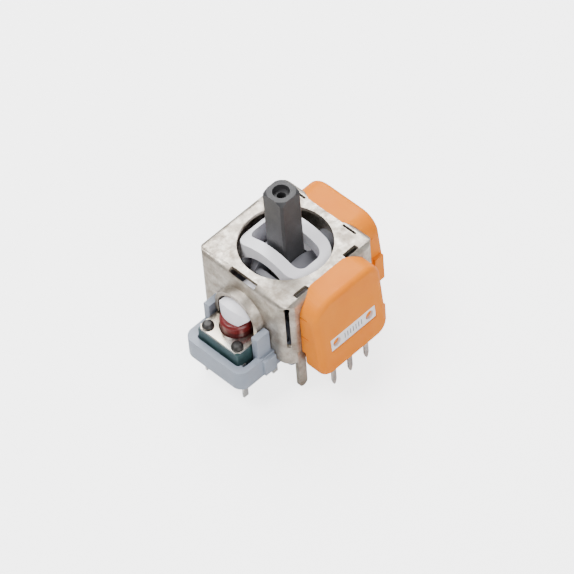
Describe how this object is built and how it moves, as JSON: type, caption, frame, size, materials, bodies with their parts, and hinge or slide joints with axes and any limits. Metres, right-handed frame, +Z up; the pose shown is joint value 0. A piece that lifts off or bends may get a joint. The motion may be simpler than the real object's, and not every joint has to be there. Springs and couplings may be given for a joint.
{
  "type": "controller analog stick",
  "caption": "Two-axis thumbstick module for a controller board: sprung gimbal stick in a folded metal shell, magnetic angle sensors in orange housings and a press switch on a side bracket",
  "frame": {"origin": "On the stick's axis, at the underside of the base, which is the face that sits on the circuit board", "axes": "+Z points up the stick, +X towards the right sensor housing, +Y towards the rear sensor housing, -Y towards the press switch"},
  "size_m": [0.0168, 0.0219, 0.0226],
  "materials": {
    "tinned_sheet": "dull tinned steel, faintly mottled",
    "grey_moulding": "bluish grey moulding, satin",
    "dark_moulding": "warm dark grey moulding, satin",
    "yoke_moulding": "mid grey moulding, satin",
    "white_moulding": "white moulding, satin",
    "puck_moulding": "grey moulding, satin",
    "spring_wire": "drawn spring steel",
    "bright_pin": "turned steel",
    "orange_moulding": "orange-yellow moulding, satin",
    "strip_card": "white plate with a semi-gloss face",
    "circuit_board": "green board",
    "sensor_case": "black chip case",
    "magnet": "nickel-plated magnet",
    "tinned_pin": "tinned brass, pale silver",
    "switch_moulding": "dark teal-grey moulding",
    "cover_plate": "bright cover with a warm sheen",
    "red_button": "dark red moulding, semi-gloss"
  },
  "bodies": {
    "frame": {"metal_shell": "tinned_sheet", "base_frame": "grey_moulding", "return_spring": "spring_wire", "right_housing": "orange_moulding", "rear_housing": "orange_moulding", "right_strip": "strip_card", "rear_strip": "strip_card", "right_board": "circuit_board", "rear_board": "circuit_board", "right_sensor": "sensor_case", "rear_sensor": "sensor_case", "right_pins": "tinned_pin", "rear_pins": "tinned_pin", "switch_body": "switch_moulding", "switch_cover": "cover_plate", "switch_dome": "spring_wire", "switch_terminals": "tinned_pin"},
    "press_rod": {"switch_pusher": "white_moulding"},
    "yoke": {"lower_yoke": "yoke_moulding", "stick_pin": "bright_pin", "rear_magnet_holder": "yoke_moulding", "rear_magnet": "magnet"},
    "stick": {"stick": "dark_moulding"},
    "ring": {"upper_ring": "white_moulding", "right_magnet_holder": "white_moulding", "right_magnet": "magnet"},
    "button": {"switch_button": "red_button"},
    "puck": {"centring_puck": "puck_moulding"}
  },
  "joints": [
    {"name": "press", "type": "hinge", "parent": "frame", "child": "press_rod", "pos_m": [0, 0.00665, 0.0062], "axis": [1, 0, 0], "range_deg": [0, 1.2], "stiffness_Nm_per_rad": 0.4},
    {"name": "tilt_x", "type": "hinge", "parent": "press_rod", "child": "yoke", "pos_m": [0, 0, 0.0062], "axis": [0, 1, 0], "range_deg": [-16, 16], "stiffness_Nm_per_rad": 0.01},
    {"name": "tilt_y", "type": "hinge", "parent": "yoke", "child": "stick", "pos_m": [0, 0, 0.0062], "axis": [1, 0, 0], "range_deg": [-16, 16], "stiffness_Nm_per_rad": 0.01},
    {"name": "ring_tilt", "type": "hinge", "parent": "frame", "child": "ring", "pos_m": [0, 0, 0.0062], "axis": [1, 0, 0], "range_deg": [-16, 16]},
    {"name": "button_travel", "type": "slide", "parent": "frame", "child": "button", "axis": [0, 0, -1], "range_m": [0, 0.00032]},
    {"name": "puck_travel", "type": "slide", "parent": "frame", "child": "puck", "axis": [0, 0, -1], "range_m": [0, 0.00016], "deforming": ["return_spring"]}
  ],
  "couplings": [
    {"joint": "ring_tilt", "follows": "tilt_y", "ratio": 1},
    {"joint": "button_travel", "follows": "press", "m_per_rad": 0.0148},
    {"joint": "puck_travel", "follows": "press", "m_per_rad": 0.00665}
  ]
}
